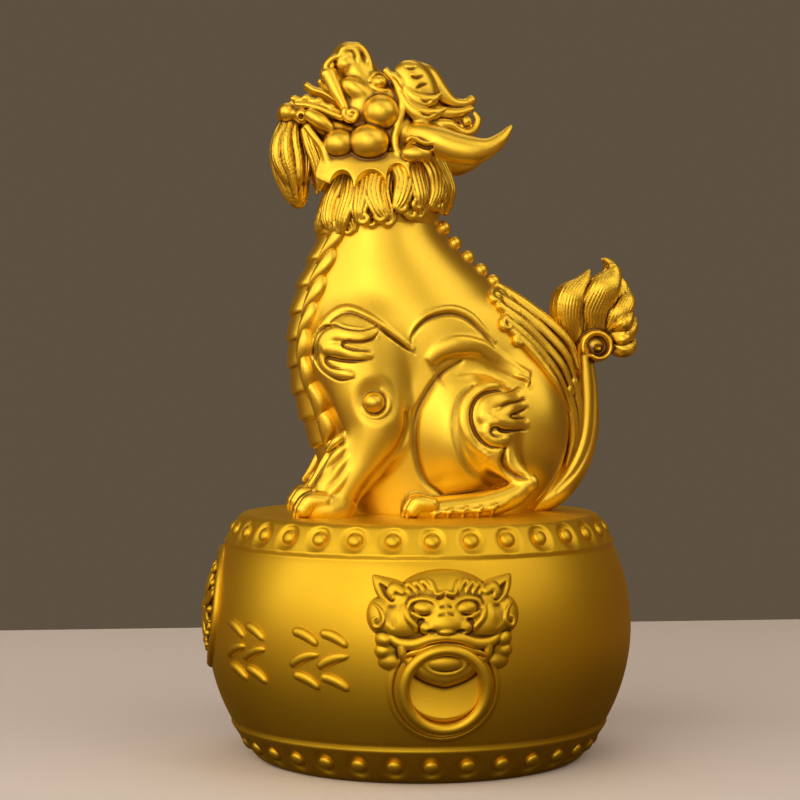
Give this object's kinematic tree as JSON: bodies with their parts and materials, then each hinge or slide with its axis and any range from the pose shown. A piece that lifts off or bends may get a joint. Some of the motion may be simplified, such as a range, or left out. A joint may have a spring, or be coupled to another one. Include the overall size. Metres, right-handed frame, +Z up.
{
  "type": "brass mythical beast figure",
  "caption": "Cast brass horned beast seated with its head thrown back and mouth open, on a studded barrel drum with lion masks holding rings in relief.",
  "frame": {"origin": "middle of the drum's flat underside", "axes": "+Z up, the beast looks towards -Y, its left side is +X and its tail +Y"},
  "size_m": [0.161, 0.1549, 0.2493],
  "materials": {
    "drum_brass": "satin gilt brass, darker in the recesses",
    "beast_brass": "satin gilt brass, darker in the recesses"
  },
  "bodies": {
    "root": {"drum": "drum_brass", "beast": "beast_brass"}
  },
  "joints": []
}
